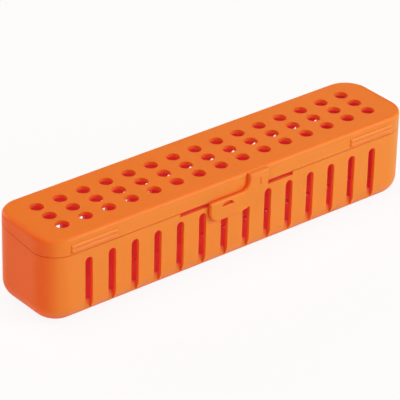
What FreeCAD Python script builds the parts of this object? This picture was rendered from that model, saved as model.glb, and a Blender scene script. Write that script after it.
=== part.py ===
import FreeCAD, Part
import math
import os
from FreeCAD import Vector

# Perforated plastic box for sterilizing instruments, closed, standing on its base.
# Millimetres. X runs along the box, the latch is on the -Y side, the hinge on the +Y side, Z is up.
# The origin is the middle of the underside.

# Overall body, lid and base together
body_length = 203.2
body_width = 42.0
body_height = 42.0
corner_radius = 12.0
wall = 2.0
roof = 2.0
floor_thickness = 1.6
lid_edge_radius = 1.8
bottom_edge_radius = 8.8

# Parting line: level along the front, climbing to the hinge on the two end walls
skirt_front = 8.2
skirt_back = 4.6
climb_start_y = -10.0
parting_gap = 0.2

# Raised lip on the base that locates the lid from inside
lip_thickness = 0.9
lip_height = 1.6
lip_clearance = 0.2

# Round holes in the lid
hole_diameter = 6.4
hole_pitch = 12.29
hole_row_pitch = 9.15
hole_columns = 15
hole_rows = 3

# Notches that open both long walls of the base and run out through the bottom edge
slot_count = 14
slot_width = 4.0
front_slot_offset_x = -0.8
front_slot_top = 29.7
back_slot_offset_x = 0.4
back_slot_top = 26.9

# Square drain holes in the floor
drain_side = 2.8
drain_count = 15
drain_row_y = 2.2

# Gap in the base rim behind the latch and on both sides of it
rim_notch_length = 63.6
rim_notch_depth = 1.7

# Finger grips: a pad with two ribs near each end of the lid front
grip_length = 23.2
grip_centre_x = 77.8
grip_top_drop = 3.3
grip_rib_height = 2.1
grip_rib_count = 2
grip_rise = 0.75
grip_pad_rise = 0.2

# Latch: a sickle-shaped tongue rooted on the lid, reaching down over the base
latch_left_x = -16.3
latch_right_x = 16.2
latch_thickness = 1.8
latch_clearance = 0.3
latch_root_left_x = 5.6
latch_root_drop = 0.7
latch_reach = 9.7
latch_inner_radius = 4.6
latch_corner_radius = 5.0
latch_top_corner_radius = 0.8
latch_flat_end_x = -3.0
latch_right_drop = 10.5
latch_edge_bevel = 0.5
latch_flex_x = 4.4

# Window in the tongue and the catch nib of the base that stands in it
window_width = 6.6
window_height = 1.9
window_centre_x = -6.7
window_drop = 9.4
nib_clearance = 0.3
nib_rise = 1.0
nib_land_height = 0.5

# Small gate mark on the face of the latch root
gate_mark_x = 11.3
gate_mark_drop = 5.3
gate_mark_length = 3.2
gate_mark_width = 0.7
gate_mark_depth = 0.25

# Two hinges on the back: ears on the base, a pin, and a hook on the lid that clips onto it
hinge_spacing = 135.2
hinge_offset_y = 3.4
hinge_drop_below_parting = 2.8
pin_diameter = 3.0
pin_fit = 0.02
hook_bore_clearance = 0.08
hook_wall = 1.5
hook_width = 10.0
hook_side_clearance = 0.25
hook_wall_clearance = 0.3
hook_mouth_start = 150.0
hook_mouth_end = 255.0
stop_nose_radius = 3.65
stop_nose_angle = 20.0
stop_margin_angle = 2.0
lid_open_angle = 110.0
ear_thickness = 2.6
ear_radius = 3.0
ear_root_height = 10.5
ear_lean_angle = -35.0

# Values worked out from the sizes above
half_length = body_length / 2
half_width = body_width / 2
front_parting = body_height - skirt_front
back_parting = body_height - skirt_back
hinge_y = half_width + hinge_offset_y
hinge_z = back_parting - hinge_drop_below_parting
bore_radius = pin_diameter / 2 + hook_bore_clearance
ring_radius = bore_radius + hook_wall
latch_back_y = -half_width - latch_clearance
latch_front_y = latch_back_y - latch_thickness
window_sill = body_height - window_drop - window_height

# How far cutting tools run past the faces that they cut
overrun = 10.0
tiny = 1e-4


def rounded_block(inset, z_low, z_high):
    """Block with the body's rounded corners, its sides taken in by inset."""
    length = body_length - 2 * inset
    width = body_width - 2 * inset
    block = Part.makeBox(length, width, z_high - z_low, Vector(-length / 2, -width / 2, z_low))
    upright = [edge for edge in block.Edges if edge.BoundBox.ZLength > tiny]
    return block.makeFillet(corner_radius - inset, upright)


def edges_at_height(shape, z):
    """Edges that lie wholly at height z."""
    return [edge for edge in shape.Edges if abs(edge.BoundBox.ZMin - z) + abs(edge.BoundBox.ZMax - z) < tiny]


def outer_body():
    """Whole outside form, with its rounded top and bottom edges."""
    block = rounded_block(0, 0, body_height)
    block = block.makeFillet(bottom_edge_radius, edges_at_height(block, 0))
    return block.makeFillet(lid_edge_radius, edges_at_height(block, body_height))


def inner_body():
    """Whole inside form, between floor and roof."""
    block = rounded_block(wall, floor_thickness, body_height - roof)
    return block.makeFillet(bottom_edge_radius - wall, edges_at_height(block, floor_thickness))


def extrude_profile_x(points, x_from, x_to):
    """Solid from a closed outline of (y, z) points, between two x places."""
    wire = Part.makePolygon([Vector(x_from, y, z) for y, z in points + points[:1]])
    return Part.Face(wire).extrude(Vector(x_to - x_from, 0, 0))


def parting_band(z_low, z_high):
    """Solid past the box all round, whose lower and upper faces follow the parting line moved by z_low and z_high."""
    y_end = half_width + overrun
    climb_rate = (back_parting - front_parting) / (half_width - climb_start_y)
    z_end = back_parting + climb_rate * overrun
    line = [(-y_end, front_parting), (climb_start_y, front_parting), (y_end, z_end)]
    low = [(y, z + z_low) for y, z in line]
    high = [(y, z + z_high) for y, z in reversed(line)]
    return extrude_profile_x(low + high, -half_length - overrun, half_length + overrun)


def pattern_positions(count, pitch):
    """Places of an evenly spaced row, centred on zero."""
    return [(index - (count - 1) / 2) * pitch for index in range(count)]


def slot_cutter(x, side, slot_top):
    """One notch: straight down from a half-round top, from outside to the inner wall face."""
    radius = slot_width / 2
    shoulder = slot_top - radius
    y_outside = side * (half_width + overrun)
    y_inside = side * (half_width - wall)
    left_foot = Vector(x - radius, y_outside, -overrun)
    left = Vector(x - radius, y_outside, shoulder)
    top = Vector(x, y_outside, slot_top)
    right = Vector(x + radius, y_outside, shoulder)
    right_foot = Vector(x + radius, y_outside, -overrun)
    wire = Part.Wire([
        Part.makeLine(left_foot, left),
        Part.Arc(left, top, right).toShape(),
        Part.makeLine(right, right_foot),
        Part.makeLine(right_foot, left_foot),
    ])
    return Part.Face(wire).extrude(Vector(0, y_inside - y_outside, 0))


def slot_cutters():
    """Notches of both long walls."""
    cutters = []
    for x in pattern_positions(slot_count, hole_pitch):
        cutters.append(slot_cutter(x + front_slot_offset_x, -1, front_slot_top))
        cutters.append(slot_cutter(x + back_slot_offset_x, 1, back_slot_top))
    return Part.makeCompound(cutters)


def drain_cutters():
    """Row of small square holes along the floor, shifted as the back notches are."""
    half = drain_side / 2
    depth = floor_thickness + 2 * overrun
    cutters = []
    for x in pattern_positions(drain_count, hole_pitch):
        corner = Vector(x + back_slot_offset_x - half, drain_row_y - half, -overrun)
        cutters.append(Part.makeBox(drain_side, drain_side, depth, corner))
    return Part.makeCompound(cutters)


def lid_hole_cutters():
    """Grid of round holes through the roof."""
    depth = roof + overrun
    z_low = body_height - roof - overrun / 2
    cutters = []
    for x in pattern_positions(hole_columns, hole_pitch):
        for y in pattern_positions(hole_rows, hole_row_pitch):
            cutters.append(Part.makeCylinder(hole_diameter / 2, depth, Vector(x, y, z_low)))
    return Part.makeCompound(cutters)


def rim_notch_cutter():
    """Gap through the front rim and its lip, wider than the latch."""
    low = front_parting - parting_gap - rim_notch_depth
    corner = Vector(-rim_notch_length / 2, -half_width - overrun, low)
    return Part.makeBox(rim_notch_length, wall + 2 * overrun, rim_notch_depth + lip_height + overrun, corner)


def window_outline(y, inset):
    """Face of the latch window at depth y, straight sill under an arch, taken in by inset all round."""
    half = window_width / 2
    arch_radius = (half * half + window_height * window_height) / (2 * window_height)
    arch_centre_z = window_sill + window_height - arch_radius
    radius = arch_radius - inset
    sill = window_sill + inset
    half_sill = math.sqrt(radius * radius - (sill - arch_centre_z) ** 2)
    left = Vector(window_centre_x - half_sill, y, sill)
    top = Vector(window_centre_x, y, arch_centre_z + radius)
    right = Vector(window_centre_x + half_sill, y, sill)
    return Part.Face(Part.Wire([Part.Arc(left, top, right).toShape(), Part.makeLine(right, left)]))


def catch_nib():
    """Nib on the base front that fills the window: flat below to catch, sloping above so that the tongue rides over."""
    foot = -half_width + wall / 2
    nose = -half_width - nib_rise
    z_low = window_sill + nib_clearance
    z_high = window_sill + window_height - nib_clearance
    block = window_outline(foot, nib_clearance).extrude(Vector(0, nose - foot, 0))
    ramp = extrude_profile_x([
        (foot, z_low),
        (nose, z_low),
        (nose, z_low + nib_land_height),
        (-half_width, z_high),
        (foot, z_high),
    ], window_centre_x - window_width, window_centre_x + window_width)
    return block.common(ramp)


def hinge_centres():
    """Middle of each hinge along x."""
    return (-hinge_spacing / 2, hinge_spacing / 2)


def hinge_cylinder(radius, x_from, length):
    """Cylinder about the hinge line."""
    return Part.makeCylinder(radius, length, Vector(x_from, hinge_y, hinge_z), Vector(1, 0, 0))


def hinge_ear(x_from):
    """One ear: a round head round the pin on a gusset that runs down the back wall."""
    foot = half_width - wall / 2
    lean = math.radians(ear_lean_angle)
    tip = (hinge_y + ear_radius * math.cos(lean), hinge_z + ear_radius * math.sin(lean))
    gusset = extrude_profile_x(
        [(foot, hinge_z - ear_root_height), tip, (hinge_y, hinge_z), (foot, hinge_z)],
        x_from, x_from + ear_thickness)
    head = hinge_cylinder(ear_radius, x_from, ear_thickness)
    bore = hinge_cylinder(pin_diameter / 2 + pin_fit, x_from, ear_thickness)
    return gusset.fuse(head).cut(bore)


def base_solid():
    """Tray with notched walls, drained floor, lip, catch nib and hinge ears."""
    inside = inner_body()
    tray = outer_body().common(parting_band(-2 * body_height, -parting_gap))
    lip = rounded_block(wall - lip_thickness, floor_thickness, body_height)
    tray = tray.fuse(lip.common(parting_band(-parting_gap - wall, lip_height)))
    tray = tray.cut(inside)
    tray = tray.cut(rim_notch_cutter())
    tray = tray.cut(slot_cutters())
    tray = tray.cut(drain_cutters())
    tray = tray.fuse(catch_nib())
    ear_gap = hook_width / 2 + hook_side_clearance
    for centre in hinge_centres():
        for x_from in (centre - ear_gap - ear_thickness, centre + ear_gap):
            tray = tray.fuse(hinge_ear(x_from).cut(inside))
    return tray.removeSplitter()


def grip_profile():
    """Outline of a finger grip in the YZ plane at x = 0: a pad whose face is a row of half-round ribs."""
    foot = -half_width + wall / 2
    pad_face = -half_width - grip_pad_rise
    z_high = body_height - grip_top_drop
    z_low = z_high - grip_rib_count * grip_rib_height
    edges = []
    for index in range(grip_rib_count):
        rib_top = z_high - index * grip_rib_height
        start = Vector(0, pad_face, rib_top)
        middle = Vector(0, -half_width - grip_rise, rib_top - grip_rib_height / 2)
        end = Vector(0, pad_face, rib_top - grip_rib_height)
        edges.append(Part.Arc(start, middle, end).toShape())
    edges.append(Part.makeLine(Vector(0, pad_face, z_low), Vector(0, foot, z_low)))
    edges.append(Part.makeLine(Vector(0, foot, z_low), Vector(0, foot, z_high)))
    edges.append(Part.makeLine(Vector(0, foot, z_high), Vector(0, pad_face, z_high)))
    return Part.Face(Part.Wire(edges))


def finger_grip(centre_x):
    """One grip of the lid front."""
    profile = grip_profile()
    profile.translate(Vector(centre_x - grip_length / 2, 0, 0))
    return profile.extrude(Vector(grip_length, 0, 0))


def rounded_corner(corner, radius, side_x, side_z):
    """Quarter arc that rounds a corner of the latch outline; the sides point into the material's edges."""
    diagonal = radius * (1 - math.sqrt(0.5))
    on_horizontal = corner + Vector(side_x * radius, 0, 0)
    on_vertical = corner + Vector(0, 0, side_z * radius)
    middle = corner + Vector(side_x * diagonal, 0, side_z * diagonal)
    return on_horizontal, middle, on_vertical


def latch_outline():
    """Face of the sickle outline of the latch, in the XZ plane at y = 0."""
    top = body_height - latch_root_drop
    bottom = front_parting - latch_reach
    right_low = Vector(latch_right_x, 0, body_height - latch_right_drop)
    top_left = Vector(latch_root_left_x, 0, top)
    top_right = Vector(latch_right_x, 0, top)
    flat_end = Vector(latch_flat_end_x, 0, bottom)

    # The lower edge leaves its flat on an arc that ends at the right side.
    run = right_low.x - flat_end.x
    rise = right_low.z - flat_end.z
    sweep_radius = (run * run + rise * rise) / (2 * rise)
    half_angle = math.asin(run / sweep_radius) / 2
    sweep_middle = flat_end + Vector(sweep_radius * math.sin(half_angle), 0,
                                     sweep_radius * (1 - math.cos(half_angle)))

    low_left = Vector(latch_left_x, 0, bottom)
    high_left = Vector(latch_left_x, 0, front_parting)
    inner_corner = Vector(latch_root_left_x, 0, front_parting)
    low_flat, low_middle, low_side = rounded_corner(low_left, latch_corner_radius, 1, 1)
    high_flat, high_middle, high_side = rounded_corner(high_left, latch_top_corner_radius, 1, -1)
    inner_flat, inner_middle, inner_side = rounded_corner(inner_corner, latch_inner_radius, -1, 1)
    return Part.Face(Part.Wire([
        Part.makeLine(top_left, top_right),
        Part.makeLine(top_right, right_low),
        Part.Arc(right_low, sweep_middle, flat_end).toShape(),
        Part.makeLine(flat_end, low_flat),
        Part.Arc(low_flat, low_middle, low_side).toShape(),
        Part.makeLine(low_side, high_side),
        Part.Arc(high_side, high_middle, high_flat).toShape(),
        Part.makeLine(high_flat, inner_flat),
        Part.Arc(inner_flat, inner_middle, inner_side).toShape(),
        Part.makeLine(inner_side, top_left),
    ]))


def latch_slab(y_from, y_to):
    """Latch outline as a slab between two depths."""
    face = latch_outline()
    face.translate(Vector(0, y_from, 0))
    return face.extrude(Vector(0, y_to - y_from, 0))


def latch_plate():
    """Whole latch in front of the box, with bevelled front edges."""
    plate = latch_slab(latch_back_y, latch_front_y)
    front_edges = []
    for edge in plate.Edges:
        box = edge.BoundBox
        if abs(box.YMin - latch_front_y) + abs(box.YMax - latch_front_y) < tiny:
            front_edges.append(edge)
    return plate.makeChamfer(latch_edge_bevel, front_edges)


def side_of_flex_line(sign):
    """Large block on one side of the line where the tongue bends."""
    size = body_length
    x_from = latch_flex_x if sign > 0 else latch_flex_x - size
    return Part.makeBox(size, size, size, Vector(x_from, -size, -size / 2))


def latch_tongue_solid():
    """Free part of the latch, on the far side of the line where it bends, with its window."""
    tongue = latch_plate().common(side_of_flex_line(-1))
    window = window_outline(latch_front_y - overrun, 0).extrude(Vector(0, latch_thickness + 2 * overrun, 0))
    return tongue.cut(window)


def latch_root_solid():
    """Part of the latch that stays with the lid, seated in the lid's wall."""
    root_side = side_of_flex_line(1)
    root = latch_plate().common(root_side)
    lid_zone = Part.makeBox(body_length, body_width, skirt_front,
                            Vector(-half_length, -body_width, front_parting + parting_gap / 2))
    seat = latch_slab(latch_back_y, -half_width + wall / 2).common(root_side)
    root = root.fuse(seat.common(lid_zone))
    mark_corner = Vector(gate_mark_x - gate_mark_width / 2, latch_front_y - overrun,
                         body_height - gate_mark_drop - gate_mark_length / 2)
    return root.cut(Part.makeBox(gate_mark_width, overrun + gate_mark_depth, gate_mark_length, mark_corner))


def hinge_point(radius, angle):
    """Point of the YZ plane at x = 0, at an angle in radians about the hinge line, from +Y towards +Z."""
    return Vector(0, hinge_y + radius * math.cos(angle), hinge_z + radius * math.sin(angle))


def hook_ring():
    """Face of the hook's ring in the YZ plane: closed over the pin, open at its mouth."""
    start = math.radians(hook_mouth_start)
    end = math.radians(hook_mouth_end - 360)
    middle = (start + end) / 2
    return Part.Face(Part.Wire([
        Part.Arc(hinge_point(ring_radius, start), hinge_point(ring_radius, middle),
                 hinge_point(ring_radius, end)).toShape(),
        Part.makeLine(hinge_point(ring_radius, end), hinge_point(bore_radius, end)),
        Part.Arc(hinge_point(bore_radius, end), hinge_point(bore_radius, middle),
                 hinge_point(bore_radius, start)).toShape(),
        Part.makeLine(hinge_point(bore_radius, start), hinge_point(ring_radius, start)),
    ]))


def stop_nose():
    """Face of the nose on the hook's ring that meets the back wall just past the lid's widest opening."""
    contact = math.acos(min(1, hinge_offset_y / stop_nose_radius))
    lead = contact + math.radians(lid_open_angle + stop_margin_angle) - math.pi
    trail = lead + math.radians(stop_nose_angle)
    root_radius = ring_radius - hook_wall / 2
    corners = [(root_radius, lead), (stop_nose_radius, lead), (stop_nose_radius, trail), (root_radius, trail)]
    points = [hinge_point(radius, angle) for radius, angle in corners]
    return Part.Face(Part.makePolygon(points + points[:1]))


def lid_hook(centre_x):
    """One hook of the lid, with the web that hangs it from the back of the skirt."""
    x_from = centre_x - hook_width / 2
    foot = half_width - wall / 2
    skirt_low = back_parting + parting_gap
    web_back = half_width + hook_wall_clearance
    web_low = hinge_z + ring_radius * math.sin(math.radians(hook_mouth_start))
    hook = extrude_profile_x([
        (foot, skirt_low),
        (web_back, skirt_low),
        (web_back, web_low),
        (hinge_y, web_low),
        (hinge_y, hinge_z + ring_radius),
        (foot, body_height - lid_edge_radius),
    ], x_from, x_from + hook_width)
    for face in (hook_ring(), stop_nose()):
        face.translate(Vector(x_from, 0, 0))
        hook = hook.fuse(face.extrude(Vector(hook_width, 0, 0)))
    return hook.cut(hinge_cylinder(bore_radius, x_from, hook_width))


def lid_solid():
    """Cover with its grid of holes, finger grips, latch root and hinge hooks."""
    inside = inner_body()
    cover = outer_body().common(parting_band(parting_gap / 2, body_height)).cut(inside)
    rebate = rounded_block(wall - lip_thickness - lip_clearance, floor_thickness, body_height)
    cover = cover.cut(rebate.common(parting_band(-wall, lip_height + lip_clearance)))
    for side in (-1, 1):
        cover = cover.fuse(finger_grip(side * grip_centre_x))
    cover = cover.fuse(latch_root_solid())
    for centre in hinge_centres():
        cover = cover.fuse(lid_hook(centre).cut(inside))
    cover = cover.cut(lid_hole_cutters())
    return cover.removeSplitter()


def hinge_pin(centre_x):
    """Steel pin, as long as its two ears and the hook between them."""
    length = hook_width + 2 * (hook_side_clearance + ear_thickness)
    return hinge_cylinder(pin_diameter / 2, centre_x - length / 2, length)


def main():
    os.makedirs("parts", exist_ok=True)
    left_hinge, right_hinge = hinge_centres()
    nodes = {
        "base": base_solid(),
        "lid": lid_solid(),
        "latch_tongue": latch_tongue_solid(),
        "hinge_pin_left": hinge_pin(left_hinge),
        "hinge_pin_right": hinge_pin(right_hinge),
    }
    for name, shape in nodes.items():
        print(name, "solids", len(shape.Solids), "valid", shape.isValid(), "volume %.1f" % shape.Volume)
        shape.exportStep("parts/" + name + ".step")


main()
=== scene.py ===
import math
import bmesh
import bpy
import numpy as np
from mathutils import Matrix, Vector


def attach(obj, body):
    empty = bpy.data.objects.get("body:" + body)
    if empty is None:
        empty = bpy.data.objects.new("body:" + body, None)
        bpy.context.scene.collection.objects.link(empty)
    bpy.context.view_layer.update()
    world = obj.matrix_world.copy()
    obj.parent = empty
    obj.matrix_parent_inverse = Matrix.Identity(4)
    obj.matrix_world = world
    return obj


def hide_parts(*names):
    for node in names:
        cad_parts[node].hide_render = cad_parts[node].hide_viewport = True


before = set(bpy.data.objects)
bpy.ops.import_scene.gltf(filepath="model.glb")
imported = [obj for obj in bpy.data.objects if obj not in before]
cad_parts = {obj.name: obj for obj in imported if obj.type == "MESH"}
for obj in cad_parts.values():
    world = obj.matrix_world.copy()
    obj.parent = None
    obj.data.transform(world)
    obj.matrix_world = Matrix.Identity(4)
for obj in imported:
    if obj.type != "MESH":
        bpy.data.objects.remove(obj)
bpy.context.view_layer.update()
mm = 0.001

# Outer form of the closed box, as the frame has it
bodySize = {
    "halfLength": 101.6 * mm,
    "halfWidth": 21.0 * mm,
    "height": 42.0 * mm,
    "corner": 12.0 * mm,     # upright corners
    "foot": 8.8 * mm,        # rounding of the bottom edge
    "brow": 1.8 * mm,        # rounding of the lid's top edge
}
print("frame loaded,", len(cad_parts), "nodes")

# Camera: the photograph's own viewpoint, turned about the middle of the lid's top
cameraSet = {
    "yaw": -39.535,        # degrees about the upright axis, from the latch side
    "elevation": 29.666,
    "roll": 1.41,
    "distance": 1225.9,    # mm back from the lid
    "right": 3.34,         # mm that the lid's middle stands right of the picture's middle
    "up": 18.94,
    "lens": 251.11,
    "sensor": 36.0,
    "farthest": 20.0,      # metres
}


def makeCamera(s):
    # three unit axes from yaw and elevation, rolled about the line of sight, then backed off
    yaw, elevation, roll = (math.radians(s[k]) for k in ("yaw", "elevation", "roll"))
    flat = math.cos(elevation)
    back = Vector((math.sin(yaw) * flat, -math.cos(yaw) * flat, math.sin(elevation)))
    level = Vector((math.cos(yaw), math.sin(yaw), 0))
    upright = back.cross(level)
    right = math.cos(roll) * level + math.sin(roll) * upright
    up = math.cos(roll) * upright - math.sin(roll) * level
    lidMiddle = Vector((0, 0, bodySize["height"]))
    place = lidMiddle + (s["distance"] * back - s["right"] * right - s["up"] * up) * mm
    camera = bpy.data.objects.new("camera", bpy.data.cameras.new("camera"))
    camera.data.lens = s["lens"]
    camera.data.sensor_width = s["sensor"]
    camera.data.clip_end = s["farthest"]
    camera.matrix_world = Matrix((right, up, back)).transposed().to_4x4()
    camera.location = place
    bpy.context.scene.collection.objects.link(camera)
    bpy.context.scene.camera = camera


makeCamera(cameraSet)
print("camera set")


# Small helpers for node trees

def newMaterial(name):
    material = bpy.data.materials.new(name)
    material.use_nodes = True
    material.node_tree.nodes.clear()
    return material, material.node_tree


def addNode(tree, kind, **values):
    # keys that name a socket set it, the others are the node's own settings
    node = tree.nodes.new(kind)
    for key, value in values.items():
        if key in node.inputs:
            node.inputs[key].default_value = value
        else:
            setattr(node, key, value)
    return node


def addGroup(tree, group, **values):
    node = tree.nodes.new("ShaderNodeGroup")
    node.node_tree = group
    for key, value in values.items():
        node.inputs[key].default_value = value
    return node


def mathNode(tree, operation, a, b=0.0):
    node = tree.nodes.new("ShaderNodeMath")
    node.operation = operation
    for socket, value in zip(node.inputs, (a, b)):
        if isinstance(value, (int, float)):
            socket.default_value = value
        else:
            tree.links.new(value, socket)
    return node.outputs[0]


def mixColours(tree, share, first, second):
    # first and second are a colour or an output, share goes from first to second
    node = addNode(tree, "ShaderNodeMix", data_type="RGBA")
    tree.links.new(share, node.inputs["Factor"])
    ends = [socket for socket in node.inputs if socket.type == "RGBA"]
    for socket, value in zip(ends, (first, second)):
        if isinstance(value, tuple):
            socket.default_value = value
        else:
            tree.links.new(value, socket)
    return [socket for socket in node.outputs if socket.type == "RGBA"][0]


floatSocket = "NodeSocketFloat"
vectorSocket = "NodeSocketVector"


def makeGroup(name, inputs, outputs):
    # inputs are pairs of name and number, outputs pairs of name and kind of socket
    group = bpy.data.node_groups.new(name, "ShaderNodeTree")
    for socketName, value in inputs:
        socket = group.interface.new_socket(socketName, in_out="INPUT", socket_type=floatSocket)
        socket.default_value = value
    for socketName, kind in outputs:
        group.interface.new_socket(socketName, in_out="OUTPUT", socket_type=kind)
    return group, group.nodes.new("NodeGroupInput"), group.nodes.new("NodeGroupOutput")


# Shared effects, built once as groups

toneSet = {
    "size": 30.0,         # scale of the broad noise, in a space of metres
    "finer": 9.0,         # times that for the fine noise
    "fineShare": 0.35,
    "amount": 0.05,
}


def makeMouldTone(s):
    # tone = 1 + amount * (broad noise + share * fine noise - their mean)
    inputs = [("Size", s["size"]), ("Amount", s["amount"])]
    group, given, out = makeGroup("mouldTone", inputs, [("Tone", floatSocket)])
    place = group.nodes.new("ShaderNodeTexCoord")
    broad = addNode(group, "ShaderNodeTexNoise", Detail=2.0, Roughness=0.5)
    fine = addNode(group, "ShaderNodeTexNoise", Detail=3.0, Roughness=0.6)
    group.links.new(place.outputs["Object"], broad.inputs["Vector"])
    group.links.new(place.outputs["Object"], fine.inputs["Vector"])
    group.links.new(given.outputs["Size"], broad.inputs["Scale"])
    fineSize = mathNode(group, "MULTIPLY", given.outputs["Size"], s["finer"])
    group.links.new(fineSize, fine.inputs["Scale"])
    finePart = mathNode(group, "MULTIPLY", fine.outputs["Fac"], s["fineShare"])
    both = mathNode(group, "ADD", broad.outputs["Fac"], finePart)
    mean = 0.5 * (1 + s["fineShare"])
    centred = mathNode(group, "SUBTRACT", both, mean)
    change = mathNode(group, "MULTIPLY", centred, given.outputs["Amount"])
    tone = mathNode(group, "ADD", change, 1.0)
    group.links.new(tone, out.inputs["Tone"])
    return group


edgeSet = {
    "radius": 0.25 * mm,
    "highlightGain": 3.0,
    "samples": 6,
}


def makeSoftEdges(s):
    # normal = face normal rounded over sharp edges
    # mask = gain * (1 - rounded normal . true normal), which places the painted highlight along the
    # edges
    outputs = [("Normal", vectorSocket), ("Mask", floatSocket)]
    group, given, out = makeGroup("softEdges", [("Gain", s["highlightGain"])], outputs)
    bevel = addNode(group, "ShaderNodeBevel", samples=s["samples"], Radius=s["radius"])
    face = group.nodes.new("ShaderNodeNewGeometry")
    dot = group.nodes.new("ShaderNodeVectorMath")
    dot.operation = "DOT_PRODUCT"
    group.links.new(bevel.outputs["Normal"], dot.inputs[0])
    group.links.new(face.outputs["Normal"], dot.inputs[1])
    lean = mathNode(group, "SUBTRACT", 1.0, dot.outputs["Value"])
    mask = mathNode(group, "MINIMUM", mathNode(group, "MULTIPLY", lean, given.outputs["Gain"]), 1.0)
    group.links.new(bevel.outputs["Normal"], out.inputs["Normal"])
    group.links.new(mask, out.inputs["Mask"])
    return group


grainSet = {
    "size": 2600.0,       # scale of the grain and of its patches, in a space of metres
    "patches": 120.0,
}


def makeSparkGrain(s):
    # height of a mould's eroded skin = fine noise * broad noise
    group, given, out = makeGroup("sparkGrain", [("Size", s["size"])], [("Height", floatSocket)])
    place = group.nodes.new("ShaderNodeTexCoord")
    grain = addNode(group, "ShaderNodeTexNoise", Detail=2.0, Roughness=0.55)
    patches = addNode(group, "ShaderNodeTexNoise", Scale=s["patches"], Detail=1.0)
    for noise in (grain, patches):
        group.links.new(place.outputs["Object"], noise.inputs["Vector"])
    group.links.new(given.outputs["Size"], grain.inputs["Scale"])
    height = mathNode(group, "MULTIPLY", grain.outputs["Fac"], patches.outputs["Fac"])
    group.links.new(height, out.inputs["Height"])
    return group


def roundedDistance(tree, a, b, radius):
    # distance past a corner of two faces that are a and b away, rounded by radius
    # a, b and the distance are below zero inside
    a = mathNode(tree, "ADD", a, radius)
    b = mathNode(tree, "ADD", b, radius)
    outside = tree.nodes.new("ShaderNodeCombineXYZ")
    tree.links.new(mathNode(tree, "MAXIMUM", a, 0.0), outside.inputs["X"])
    tree.links.new(mathNode(tree, "MAXIMUM", b, 0.0), outside.inputs["Y"])
    length = addNode(tree, "ShaderNodeVectorMath", operation="LENGTH")
    tree.links.new(outside.outputs["Vector"], length.inputs[0])
    inside = mathNode(tree, "MINIMUM", mathNode(tree, "MAXIMUM", a, b), 0.0)
    past = mathNode(tree, "ADD", length.outputs["Value"], inside)
    return mathNode(tree, "SUBTRACT", past, radius)


def smoothStep(tree, value, low, high):
    # 0 at low, 1 at high, with a soft start and end; low and high are numbers or outputs
    step = addNode(tree, "ShaderNodeMapRange", interpolation_type="SMOOTHSTEP")
    tree.links.new(value, step.inputs["Value"])
    for key, bound in (("From Min", low), ("From Max", high)):
        if isinstance(bound, (int, float)):
            step.inputs[key].default_value = bound
        else:
            tree.links.new(bound, step.inputs[key])
    return step.outputs["Result"]


gapSet = {
    "reach": 6.0 * mm,
    "low": 0.0,
    "high": 0.83,
    "samples": 8,
}


def makeHiddenSky(s):
    # mask = smooth step, from Low to High, of the share of the sky that plastic within Reach hides
    inputs = [("Reach", s["reach"]), ("Low", s["low"]), ("High", s["high"])]
    group, given, out = makeGroup("hiddenSky", inputs, [("Mask", floatSocket)])
    sky = addNode(group, "ShaderNodeAmbientOcclusion", samples=s["samples"])
    group.links.new(given.outputs["Reach"], sky.inputs["Distance"])
    hidden = mathNode(group, "SUBTRACT", 1.0, sky.outputs["AO"])
    mask = smoothStep(group, hidden, given.outputs["Low"], given.outputs["High"])
    group.links.new(mask, out.inputs["Mask"])
    return group


def boxDistances(tree, box):
    # X, Y, Z in the box's frame, and the distance past its upright walls, below zero inside
    place = tree.nodes.new("ShaderNodeTexCoord")
    axes = tree.nodes.new("ShaderNodeSeparateXYZ")
    tree.links.new(place.outputs["Object"], axes.inputs["Vector"])
    alongX = mathNode(tree, "ABSOLUTE", axes.outputs["X"])
    alongY = mathNode(tree, "ABSOLUTE", axes.outputs["Y"])
    pastEnd = mathNode(tree, "SUBTRACT", alongX, box["halfLength"])
    pastSide = mathNode(tree, "SUBTRACT", alongY, box["halfWidth"])
    return axes.outputs, roundedDistance(tree, pastEnd, pastSide, box["corner"])


placeSet = {
    "start": 0.4,             # mm under the skin where the inside's painted red starts
    "stop": 1.7,              # and where it is full
    "litStart": 1.5,          # mm more at the feet of the front notches
    "litStop": 0.9,
    "footEnd": 0.4,           # share of the foot's rounding below which a point is near the foot
    "frontEnd": -5.0 * mm,    # y where the front side is in full
    "plateSkin": 0.5 * mm,    # the floor plate's underside stays orange up to here
    "flatStart": 0.9,         # share of the foot's rounding where the flat floor begins
    "endShadeShare": 0.6,          # share of the corner that takes the end walls' painted shade
    "roofShadeShare": 0.5,         # how far the roof takes that painted shade
}


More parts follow.
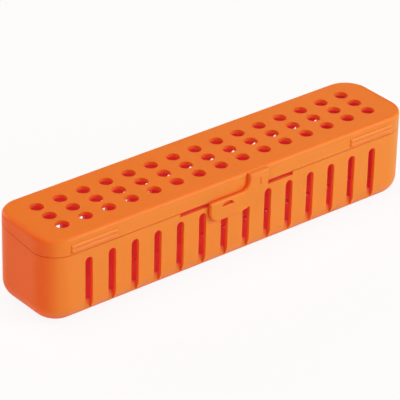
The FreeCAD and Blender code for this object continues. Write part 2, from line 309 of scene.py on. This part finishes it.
def makeBoxPlaces(box, s):
    # Inside = smooth step, from Start to Stop in mm, of the depth under the skin, or the floor plate
    # the ends' and roof's painted shade = the larger of two smooth steps, towards the two ends and
    # towards the roof's face
    inputs = [("Start", s["start"]), ("Stop", s["stop"])]
    outputs = [("Inside", floatSocket), ("EndRoofShade", floatSocket)]
    group, given, out = makeGroup("boxPlaces", inputs, outputs)
    axes, pastWall = boxDistances(group, box)
    pastFloor = mathNode(group, "MULTIPLY", axes["Z"], -1.0)
    pastRoof = mathNode(group, "SUBTRACT", axes["Z"], box["height"])
    low = roundedDistance(group, pastWall, pastFloor, box["foot"])
    high = roundedDistance(group, pastWall, pastRoof, box["brow"])
    depth = mathNode(group, "MULTIPLY", mathNode(group, "MAXIMUM", low, high), -1 / mm)
    # the feet of the front notches are lit straight on and stay orange: there red starts further in
    nearFoot = smoothStep(group, axes["Z"], box["foot"], s["footEnd"] * box["foot"])
    frontSide = smoothStep(group, axes["Y"], 0.0, s["frontEnd"])
    litFoot = mathNode(group, "MULTIPLY", nearFoot, frontSide)
    laterStart = mathNode(group, "MULTIPLY", litFoot, s["litStart"])
    laterStop = mathNode(group, "MULTIPLY", litFoot, s["litStop"])
    start = mathNode(group, "ADD", given.outputs["Start"], laterStart)
    stop = mathNode(group, "ADD", given.outputs["Stop"], laterStop)
    inWall = smoothStep(group, depth, start, stop)
    abovePlate = smoothStep(group, axes["Z"], 0.0, s["plateSkin"])
    overFlat = smoothStep(group, pastWall, -s["flatStart"] * box["foot"], -box["foot"])
    lowInside = mathNode(group, "MULTIPLY", abovePlate, nearFoot)
    inPlate = mathNode(group, "MULTIPLY", lowInside, overFlat)
    group.links.new(mathNode(group, "MAXIMUM", inWall, inPlate), out.inputs["Inside"])
    alongX = mathNode(group, "ABSOLUTE", axes["X"])
    endShadeStart = box["halfLength"] - s["endShadeShare"] * box["corner"]
    shadeTowardsEnd = smoothStep(group, alongX, endShadeStart, box["halfLength"])
    shadeTowardsRoof = smoothStep(group, axes["Z"], box["height"] - box["brow"], box["height"])
    shadeOnRoof = mathNode(group, "MULTIPLY", shadeTowardsRoof, s["roofShadeShare"])
    group.links.new(mathNode(group, "MAXIMUM", shadeTowardsEnd, shadeOnRoof), out.inputs["EndRoofShade"])
    return group


mouldTone = makeMouldTone(toneSet)
softEdges = makeSoftEdges(edgeSet)
sparkGrain = makeSparkGrain(grainSet)
hiddenSky = makeHiddenSky(gapSet)
boxPlaces = makeBoxPlaces(bodySize, placeSet)

plasticSet = {
    "body": (0.83, 0.275, 0.026, 1),
    "endRoofShade": (0.85, 0.165, 0.003, 1),     # painted shade on the end walls and roof, darker and fuller than the pierced walls
    "inside": (0.97, 0.055, 0.048, 1),   # painted light: red where the light has come through the walls
    # painted glow of that light, as emission
    "paintedGlow": (0.065, 0.0070, 0.0100, 1),
    "roomReach": 60 * mm,                # the painted red is only where the box is closed round it
    "roomLow": 0.40,
    "roomHigh": 0.68,
    # painted highlight, lighter along sharp edges
    "edge": (0.95, 0.30, 0.06, 1),
    "edgeShare": 0.1,
    "shade": (0.74, 0.085, 0.010, 1),    # narrow gaps, where light goes from plastic to plastic
    "shadeGlow": (0.085, 0.013, 0.002, 1),
    "none": (0.0, 0.0, 0.0, 1),
    "specular": 0.35,
    "roughness": 0.5,
    "refraction": 1.49,
    "subsurface": 0.3,
    "depth": (1.0, 0.05, 0.02),          # how far red, green and blue wander, in shares of the scale
    "scale": 0.6 * mm,
    "bump": 0.02 * mm,
    "bumpShare": 0.25,
}


def makePlastic(name, s, edges):
    # base colour = body, turned by their masks to the ends' and roof's painted shade, a painted edge
    # highlight, the painted shade of gaps and the inside's painted red, times the tone
    # inside = under the skin * closed in; glow = painted glow, the shade glow in the gaps and the
    # inside's glow there
    material, tree = newMaterial(name)
    shader = addNode(tree, "ShaderNodeBsdfPrincipled", Roughness=s["roughness"], IOR=s["refraction"])
    shader.inputs["Specular IOR Level"].default_value = s["specular"]
    shader.inputs["Subsurface Weight"].default_value = s["subsurface"]
    shader.inputs["Subsurface Radius"].default_value = s["depth"]
    shader.inputs["Subsurface Scale"].default_value = s["scale"]
    out = tree.nodes.new("ShaderNodeOutputMaterial")
    tone = addGroup(tree, mouldTone)
    places = addGroup(tree, boxPlaces)
    grain = addGroup(tree, sparkGrain)
    # painted shade: the ends and roof turn darker and redder
    colour = mixColours(tree, places.outputs["EndRoofShade"], s["body"], s["endRoofShade"])
    bump = addNode(tree, "ShaderNodeBump", Strength=s["bumpShare"], Distance=s["bump"])
    if edges:
        soft = addGroup(tree, softEdges)
        # painted highlight: the colour turns lighter near sharp edges
        share = mathNode(tree, "MULTIPLY", soft.outputs["Mask"], s["edgeShare"])
        colour = mixColours(tree, share, colour, s["edge"])
        tree.links.new(soft.outputs["Normal"], bump.inputs["Normal"])
    gaps = addGroup(tree, hiddenSky)
    room = {"Reach": s["roomReach"], "Low": s["roomLow"], "High": s["roomHigh"]}
    closedIn = addGroup(tree, hiddenSky, **room)
    inside = mathNode(tree, "MULTIPLY", places.outputs["Inside"], closedIn.outputs["Mask"])
    colour = mixColours(tree, gaps.outputs["Mask"], colour, s["shade"])
    # painted light: the inside turns red where light has come through the walls
    colour = mixColours(tree, inside, colour, s["inside"])
    toned = addNode(tree, "ShaderNodeVectorMath", operation="SCALE")
    tree.links.new(colour, toned.inputs[0])
    tree.links.new(tone.outputs["Tone"], toned.inputs["Scale"])
    # painted glow: emission in the gaps and inside, though the plastic is no lamp
    paintedGlow = mixColours(tree, gaps.outputs["Mask"], s["none"], s["shadeGlow"])
    paintedGlow = mixColours(tree, inside, paintedGlow, s["paintedGlow"])
    tree.links.new(grain.outputs["Height"], bump.inputs["Height"])
    tree.links.new(toned.outputs["Vector"], shader.inputs["Base Color"])
    tree.links.new(paintedGlow, shader.inputs["Emission Color"])
    shader.inputs["Emission Strength"].default_value = 1.0
    tree.links.new(bump.outputs["Normal"], shader.inputs["Normal"])
    tree.links.new(shader.outputs["BSDF"], out.inputs["Surface"])
    return material


steelSet = {
    "body": (0.58, 0.58, 0.60, 1),
    "scuff": (0.40, 0.40, 0.41, 1),
    "roughness": 0.32,
    "stretch": (60.0, 2200.0, 2200.0),   # drawing marks run along the pin
    "bump": 0.01 * mm,
    "bumpShare": 0.3,
}


def makeSteel(s):
    # drawn wire: noise stretched along x as colour and height
    material, tree = newMaterial("drawnSteel")
    shader = addNode(tree, "ShaderNodeBsdfPrincipled", Metallic=1.0, Roughness=s["roughness"])
    out = tree.nodes.new("ShaderNodeOutputMaterial")
    place = tree.nodes.new("ShaderNodeTexCoord")
    stretch = tree.nodes.new("ShaderNodeMapping")
    stretch.inputs["Scale"].default_value = s["stretch"]
    marks = addNode(tree, "ShaderNodeTexNoise", Scale=1.0, Detail=3.0)
    bump = addNode(tree, "ShaderNodeBump", Strength=s["bumpShare"], Distance=s["bump"])
    tree.links.new(place.outputs["Object"], stretch.inputs["Vector"])
    tree.links.new(stretch.outputs["Vector"], marks.inputs["Vector"])
    tree.links.new(marks.outputs["Fac"], bump.inputs["Height"])
    colour = mixColours(tree, marks.outputs["Fac"], s["scuff"], s["body"])
    tree.links.new(colour, shader.inputs["Base Color"])
    tree.links.new(bump.outputs["Normal"], shader.inputs["Normal"])
    tree.links.new(shader.outputs["BSDF"], out.inputs["Surface"])
    return material


# the second plastic is for pieces whose edges are round already
plastic = makePlastic("orangeMoulding", plasticSet, True)
plasticRound = makePlastic("orangeMouldingRound", plasticSet, False)
steel = makeSteel(steelSet)
nodeFinish = {
    "base": plastic,
    "lid": plastic,
    "latch_tongue": plastic,
    "hinge_pin_left": steel,
    "hinge_pin_right": steel,
}
for name, material in nodeFinish.items():
    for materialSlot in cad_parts[name].material_slots:
        materialSlot.material = material
print("plastic and steel made")


# Surfaces

def gridFaces(rows, columns):
    # quads between neighbouring closed rings: point j of ring i has the number i * columns + j
    i, j = np.meshgrid(np.arange(rows - 1), np.arange(columns), indexing="ij")
    nextJ = (j + 1) % columns
    quads = [i * columns + j, (i + 1) * columns + j, (i + 1) * columns + nextJ, i * columns + nextJ]
    return np.stack(quads, axis=-1).reshape(-1, 4)


meshSet = {
    "weld": 0.001 * mm,
    "sharpAngle": 40.0,   # degrees: two faces that turn further than this keep a sharp edge
}


def makePiece(name, parts, material):
    # each part is closed rings in a row, points[ring, point, xyz], with a cap at both ends,
    # and a mask of the quads to leave out
    mesh = bpy.data.meshes.new(name)
    build = bmesh.new()
    for points, leaveOut in parts:
        rings, columns = points.shape[:2]
        quads = gridFaces(rings, columns)[~leaveOut.reshape(-1)]
        places = points.reshape(-1, 3)
        last = (rings - 1) * columns
        corners = [build.verts.new(place) for place in places.tolist()]
        for quad in quads.tolist():
            build.faces.new([corners[k] for k in quad])
        build.faces.new(corners[:columns][::-1])
        build.faces.new(corners[last:])
    bmesh.ops.remove_doubles(build, verts=build.verts, dist=meshSet["weld"])
    bmesh.ops.recalc_face_normals(build, faces=build.faces)
    build.to_mesh(mesh)
    build.free()
    mesh.materials.append(material)
    mesh.polygons.foreach_set("use_smooth", np.ones(len(mesh.polygons), dtype=bool))
    mesh.set_sharp_from_angle(angle=math.radians(meshSet["sharpAngle"]))
    piece = bpy.data.objects.new(name, mesh)
    bpy.context.scene.collection.objects.link(piece)
    return piece


def rounding(distance, radius):
    # how far a face lies back near its edge: radius - sqrt(radius^2 - (radius - distance)^2)
    short = np.clip(radius - distance, 0, radius)
    return radius - np.sqrt(radius * radius - short * short)


def easedSteps(low, high, count, ease):
    # count places from low to high, ease 1 crowds them at both ends, 0 spaces them evenly
    t = np.linspace(0, 1, count)
    crowded = (1 - np.cos(np.pi * t)) / 2
    return low + (high - low) * (ease * crowded + (1 - ease) * t)


# Latch tongue: sickle blade with softly rounded front edges and an arched window, all in mm
tongueSet = {
    "left": -16.3,
    "flexLine": 4.4,          # where it joins its root on the lid
    "back": -21.3,
    "front": -23.1,
    "top": 33.8,
    "foot": 24.1,
    "cornerRadius": 5.0,      # lower left
    "topCornerRadius": 0.8,
    "innerX": 1.0,            # start of the hollow curve that climbs to the root
    "innerRadius": 4.6,
    "flatEnd": -3.0,          # end of the level foot, where the long sweep starts
    "sweepRadius": 28.608,
    "edgeRadius": 0.9,
    "windowX": -6.7,
    "windowWidth": 6.6,
    "windowHeight": 1.9,
    "windowSill": 30.7,
    "windowEdgeRadius": 0.35,
    "cornerSteps": 34,        # grid columns from left to right, and how they crowd at curves
    "cornerEase": 0.9,
    "leftSteps": 6,
    "windowSteps": 44,
    "windowEase": 0.7,
    "rightSteps": 14,
    "hollowSteps": 20,
    "rows": 26,
    "rowEase": 0.9,
}


def tongueDistance(s, x, z):
    # distance inside the outline: least distance to its straight sides and its arcs
    cornerX = s["left"] + s["cornerRadius"]
    cornerZ = s["foot"] + s["cornerRadius"]
    topX = s["left"] + s["topCornerRadius"]
    topZ = s["top"] - s["topCornerRadius"]
    side = x - s["left"]
    sweepZ = s["foot"] + s["sweepRadius"]
    hollowZ = s["top"] + s["innerRadius"]
    sweep = s["sweepRadius"] - np.hypot(x - s["flatEnd"], z - sweepZ)
    hollow = np.hypot(x - s["innerX"], z - hollowZ) - s["innerRadius"]
    foot = np.where(x < s["flatEnd"], z - s["foot"], sweep)
    top = np.where(x < s["innerX"], s["top"] - z, hollow)
    low = s["cornerRadius"] - np.hypot(x - cornerX, z - cornerZ)
    high = s["topCornerRadius"] - np.hypot(x - topX, z - topZ)
    inside = np.minimum(np.minimum(side, foot), top)
    inside = np.where((x < cornerX) & (z < cornerZ), low, inside)
    inside = np.where((x < topX) & (z > topZ), high, inside)
    return np.maximum(inside, 0)


def makeTongue(s):
    # columns along x, each a closed loop of a front and a back
    # front = flat face, set back by the rounding at the outline and at the window
    half = s["windowWidth"] / 2
    archRadius = (half ** 2 + s["windowHeight"] ** 2) / (2 * s["windowHeight"])
    archZ = s["windowSill"] + s["windowHeight"] - archRadius
    windowLeft = s["windowX"] - half
    windowRight = s["windowX"] + half
    cornerX = s["left"] + s["cornerRadius"]
    x = np.concatenate([
        easedSteps(s["left"], cornerX, s["cornerSteps"], s["cornerEase"])[:-1],
        easedSteps(cornerX, windowLeft, s["leftSteps"], 0)[:-1],
        easedSteps(windowLeft, windowRight, s["windowSteps"], s["windowEase"])[:-1],
        easedSteps(windowRight, s["innerX"], s["rightSteps"], 0)[:-1],
        easedSteps(s["innerX"], s["flexLine"], s["hollowSteps"], 0),
    ])
    inCorner = np.clip(cornerX - x, 0, s["cornerRadius"])
    inTopCorner = np.clip(s["left"] + s["topCornerRadius"] - x, 0, s["topCornerRadius"])
    inSweep = np.clip(x - s["flatEnd"], 0, None)
    inHollow = np.clip(x - s["innerX"], 0, s["innerRadius"])
    low = s["foot"] + s["cornerRadius"] - np.sqrt(s["cornerRadius"] ** 2 - inCorner ** 2)
    low += s["sweepRadius"] - np.sqrt(s["sweepRadius"] ** 2 - inSweep ** 2)
    high = s["top"] - s["topCornerRadius"] + np.sqrt(s["topCornerRadius"] ** 2 - inTopCorner ** 2)
    high += s["innerRadius"] - np.sqrt(s["innerRadius"] ** 2 - inHollow ** 2)
    inWindow = (x > windowLeft) & (x < windowRight)
    arch = archZ + np.sqrt(np.clip(archRadius ** 2 - (x - s["windowX"]) ** 2, 0, None))
    sill = np.full_like(x, s["windowSill"])
    lintel = np.where(inWindow, arch, sill)
    # lower and upper part meet at the sill, where only the window's columns have a wall
    middle = (x[1:] + x[:-1]) / 2
    beside = (middle < windowLeft) | (middle > windowRight)
    t = easedSteps(0, 1, s["rows"], s["rowEase"])
    parts = []
    for bottom, top, atSill in ((low, sill, s["rows"] - 1), (lintel, high, 2 * s["rows"] - 1)):
        z = bottom[:, None] + (top - bottom)[:, None] * t
        wide = np.broadcast_to(x[:, None], z.shape)
        toArch = np.hypot(wide - s["windowX"], z - archZ) - archRadius
        toWindow = np.maximum(toArch, s["windowSill"] - z)
        outlineBack = rounding(tongueDistance(s, wide, z), s["edgeRadius"])
        windowBack = rounding(np.maximum(toWindow, 0), s["windowEdgeRadius"])
        setBack = np.maximum(outlineBack, windowBack)
        front = np.stack([wide, s["front"] + setBack, z], axis=-1)
        back = np.stack([wide, np.full_like(z, s["back"]), z], axis=-1)[:, ::-1]
        points = np.concatenate([front, back], axis=1) * mm
        leaveOut = np.zeros((len(x) - 1, 2 * s["rows"]), dtype=bool)
        leaveOut[:, atSill] = beside
        parts.append((points, leaveOut))
    tongue = makePiece("latchTongue", parts, plasticRound)
    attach(tongue, "latch")
    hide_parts("latch_tongue")


makeTongue(tongueSet)
print("latch tongue made")


# Finger grips: two ribs with rounded ends on a thin pad, laid over each grip of the lid, in mm
gripSet = {
    "centreX": 77.8,
    "halfLength": 12.3,
    "endRadius": 0.8,
    "top": 38.8,
    "bottom": 34.3,
    "crests": (37.65, 35.55),
    "ribHalfWidth": 1.05,
    "ribRise": 0.85,
    "padRise": 0.28,
    "edgeSlope": 1.4,
    "footSlope": 0.55,        # the lower rib runs out softly into the skirt
    "wall": -21.0,
    "buried": -20.5,
    "columns": 90,
    "columnEase": 0.95,
    "rows": 64,
    "rowEase": 0.2,
}


def makeGrip(name, side, s):
    # height = pad + rib * cosine across each crest, rounded off towards the ends,
    # and no more than a slope that rises from the pad's lower and upper edge
    x = easedSteps(-s["halfLength"], s["halfLength"], s["columns"], s["columnEase"])
    z = easedSteps(s["bottom"], s["top"], s["rows"], s["rowEase"])
    wide, tall = np.meshgrid(x, z, indexing="ij")
    toEnd = s["halfLength"] - np.abs(wide)
    slope = np.minimum((tall - s["bottom"]) * s["footSlope"], (s["top"] - tall) * s["edgeSlope"])
    across = [np.clip((tall - crest) / s["ribHalfWidth"], -1, 1) for crest in s["crests"]]
    ribs = sum(np.cos(share * np.pi / 2) for share in across)
    endEase = 1 - rounding(toEnd, s["endRadius"]) / s["endRadius"]
    height = (s["padRise"] + (s["ribRise"] - s["padRise"]) * ribs) * endEase
    height = np.minimum(height, slope)
    front = np.stack([wide, s["wall"] - height, tall], axis=-1)
    back = np.stack([wide, np.full_like(tall, s["buried"]), tall], axis=-1)[:, ::-1]
    points = np.concatenate([front, back], axis=1)
    points[..., 0] += side * s["centreX"]
    leaveOut = np.zeros((s["columns"] - 1, 2 * s["rows"]), dtype=bool)
    grip = makePiece(name, [(points * mm, leaveOut)], plasticRound)
    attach(grip, "lid")


makeGrip("gripLeft", -1, gripSet)
makeGrip("gripRight", 1, gripSet)
print("finger grips made")


# Floor and light

floorSet = {
    "grey": (0.86, 0.86, 0.86, 1),
    "white": (1.0, 1.0, 1.0, 1),
    "paintedRedGlow": (1.0, 0.14, 0.16, 1),
    "glowFadeStart": 1.6,        # the painted red glow turns to white between 1.6 and 1 foot rounding inside the walls
    "paperShare": 0.9,        # the rest is grey in the room's light
    "half": 3.0,              # metres
}


def makeFloor(box, s):
    # plane that the camera sees nearly white, with a trace of shadow, and painted pink right under
    # the box, standing in for red light from the box
    material, tree = newMaterial("paleFloor")
    diffuse = addNode(tree, "ShaderNodeBsdfDiffuse", Color=s["grey"])
    paper = addNode(tree, "ShaderNodeEmission", Strength=1.0)
    path = tree.nodes.new("ShaderNodeLightPath")
    mix = tree.nodes.new("ShaderNodeMixShader")
    out = tree.nodes.new("ShaderNodeOutputMaterial")
    glossy = path.outputs["Is Glossy Ray"]
    mirrored = mathNode(tree, "MAXIMUM", glossy, path.outputs["Is Transmission Ray"])
    seen = mathNode(tree, "MAXIMUM", path.outputs["Is Camera Ray"], mirrored)
    pastWall = boxDistances(tree, box)[1]
    clear = smoothStep(tree, pastWall, -s["glowFadeStart"] * box["foot"], -box["foot"])
    # painted light: red glow on the floor under the box
    tree.links.new(mixColours(tree, clear, s["paintedRedGlow"], s["white"]), paper.inputs["Color"])
    tree.links.new(mathNode(tree, "MULTIPLY", seen, s["paperShare"]), mix.inputs["Fac"])
    tree.links.new(diffuse.outputs["BSDF"], mix.inputs[1])
    tree.links.new(paper.outputs["Emission"], mix.inputs[2])
    tree.links.new(mix.outputs["Shader"], out.inputs["Surface"])
    half = s["half"]
    mesh = bpy.data.meshes.new("floor")
    corners = [(-half, -half, 0), (half, -half, 0), (half, half, 0), (-half, half, 0)]
    mesh.from_pydata(corners, [], [(0, 1, 2, 3)])
    mesh.materials.append(material)
    floor = bpy.data.objects.new("floor", mesh)
    bpy.context.scene.collection.objects.link(floor)


# Lamps are round, places and sizes in metres, powers in watts
lampSet = {
    "key": {"place": (0.75, -1.05, 0.70), "size": 0.9, "power": 12.9, "colour": (1, 1, 1)},
    "over": {"place": (-0.1, 0.1, 1.3), "size": 1.0, "power": 7.2, "colour": (1, 0.74, 0.55)},
    "back": {"place": (-0.25, 1.3, 0.35), "size": 0.9, "power": 7.5, "colour": (1, 0.9, 0.8)},
    "glance": {"place": (0.50, 0.46, 0.38), "size": 0.3, "power": 0.13, "colour": (1, 1, 1)},
    "left": {"place": (-1.2, -0.55, 0.5), "size": 0.8, "power": 6.1, "colour": (1, 0.27, 0.12)},
}


def makeLamps(s):
    # each lamp is aimed at the middle of the box
    for name, own in s.items():
        lamp = bpy.data.lights.new(name, "AREA")
        lamp.shape = "DISK"
        lamp.size = own["size"]
        lamp.energy = own["power"]
        lamp.color = own["colour"]
        holder = bpy.data.objects.new(name, lamp)
        holder.location = own["place"]
        aim = Vector((0, 0, bodySize["height"] / 2)) - holder.location
        holder.rotation_euler = aim.to_track_quat("-Z", "Y").to_euler()
        bpy.context.scene.collection.objects.link(holder)


roomSet = {
    "white": (1, 1, 1, 1),
    "strength": 0.17,
}


def makeWorld(s):
    # even room light, seen by the camera as plain white
    world = bpy.data.worlds.new("room")
    world.use_nodes = True
    tree = world.node_tree
    tree.nodes.clear()
    path = tree.nodes.new("ShaderNodeLightPath")
    room = addNode(tree, "ShaderNodeBackground", Color=s["white"], Strength=s["strength"])
    seen = addNode(tree, "ShaderNodeBackground", Color=s["white"], Strength=1.0)
    mix = tree.nodes.new("ShaderNodeMixShader")
    out = tree.nodes.new("ShaderNodeOutputWorld")
    tree.links.new(path.outputs["Is Camera Ray"], mix.inputs["Fac"])
    tree.links.new(room.outputs["Background"], mix.inputs[1])
    tree.links.new(seen.outputs["Background"], mix.inputs[2])
    tree.links.new(mix.outputs["Shader"], out.inputs["Surface"])
    bpy.context.scene.world = world


makeFloor(bodySize, floorSet)
makeLamps(lampSet)
makeWorld(roomSet)
bpy.context.scene.view_settings.view_transform = "Standard"
print("floor, lamps and room made")
